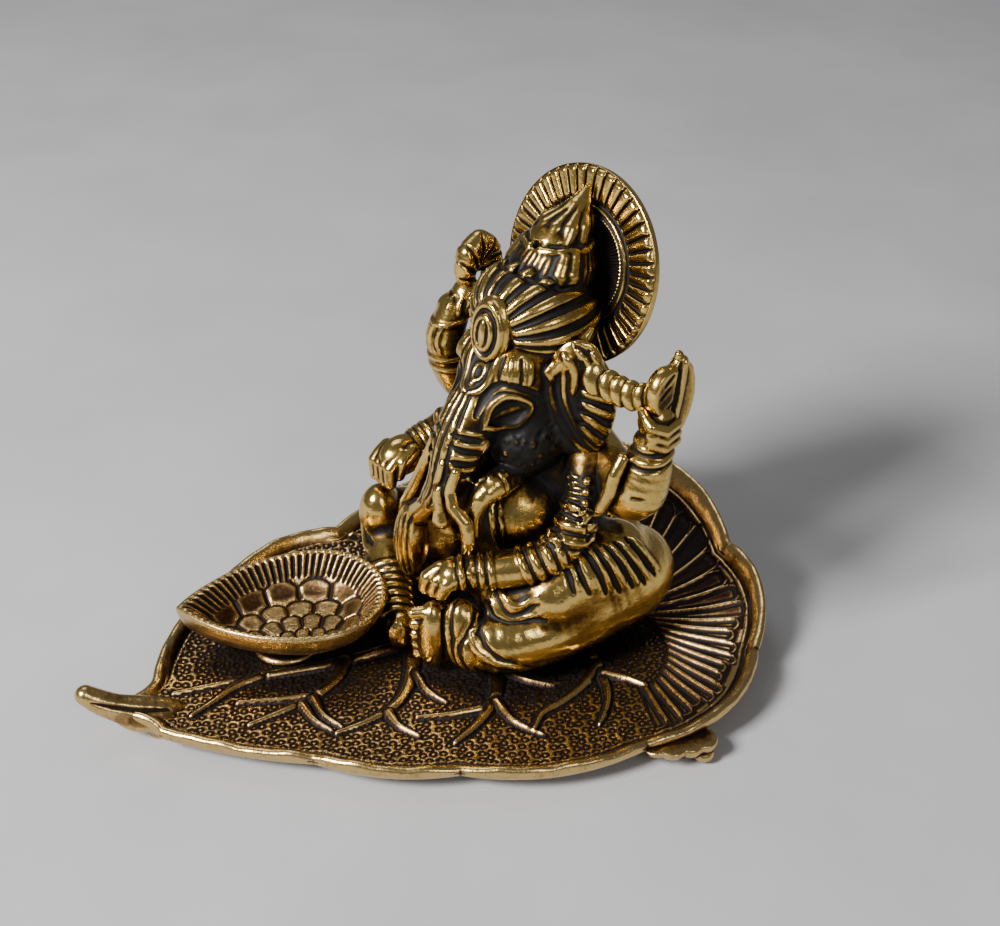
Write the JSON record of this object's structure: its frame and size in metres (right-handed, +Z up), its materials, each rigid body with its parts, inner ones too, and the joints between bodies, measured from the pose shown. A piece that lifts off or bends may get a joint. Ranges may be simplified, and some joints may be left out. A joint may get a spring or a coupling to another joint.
{
  "type": "devotional figure on a leaf tray",
  "caption": "Seated elephant-headed deity figure with a halo and an oil lamp bowl on a scalloped leaf tray, cast metal with an antique gold finish.",
  "frame": {"origin": "on the table, under the middle of the tray", "axes": "+X along the leaf from its curled tip to its wide fan end, +Y to the back of the tray, +Z up"},
  "size_m": [0.1663, 0.1164, 0.1164],
  "materials": {
    "tray_gold": "antique gold, dark patina in the stamped ground, polished rim",
    "figure_gold": "antique gold, polished on the high spots, near black in the folds",
    "lamp_gold": "antique gold, satin outside, dark lines inside",
    "fastener_steel": "zinc plated"
  },
  "bodies": {
    "root": {"leaf_plate": "tray_gold", "foot_tip": "tray_gold", "foot_front": "tray_gold", "foot_back": "tray_gold", "figure_body": "figure_gold", "head": "figure_gold", "turban": "figure_gold", "turban_brooch": "figure_gold", "halo": "figure_gold", "left_rear_arm": "figure_gold", "axe": "figure_gold", "right_rear_arm": "figure_gold", "noose": "figure_gold", "left_front_arm": "figure_gold", "right_front_arm": "figure_gold", "diya_bowl": "lamp_gold", "diya_stem": "lamp_gold", "mounting_screws": "fastener_steel", "mounting_washers": "fastener_steel"}
  },
  "joints": []
}
